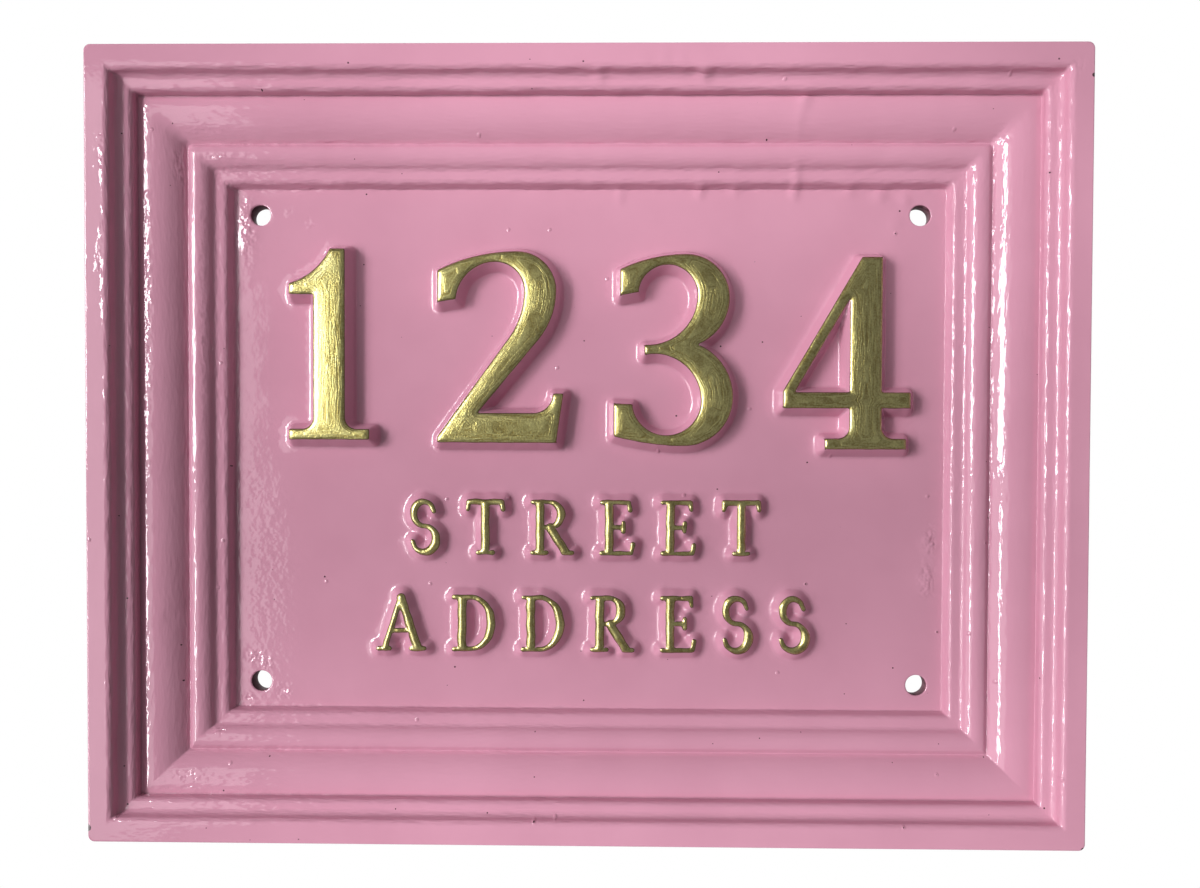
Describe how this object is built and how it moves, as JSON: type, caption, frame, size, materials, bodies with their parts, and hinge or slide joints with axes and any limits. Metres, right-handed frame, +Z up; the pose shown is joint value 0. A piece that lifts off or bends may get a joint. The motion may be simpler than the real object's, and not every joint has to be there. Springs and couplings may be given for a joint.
{
  "type": "house number plaque",
  "caption": "Rectangular cast house number plaque with a stepped moulded frame, a sunk panel, raised gilded figures on enamel and screw holes in the panel's corners.",
  "frame": {"origin": "middle of the flat back, where it lies on the wall, at the centre of the screw holes", "axes": "+X to the right as the figures are read, +Z up the wall, -Y out of the wall towards the reader"},
  "size_m": [0.254, 0.0181, 0.2032],
  "materials": {
    "enamel": "gloss"
  },
  "bodies": {
    "root": {"plaque": "enamel"}
  },
  "joints": []
}
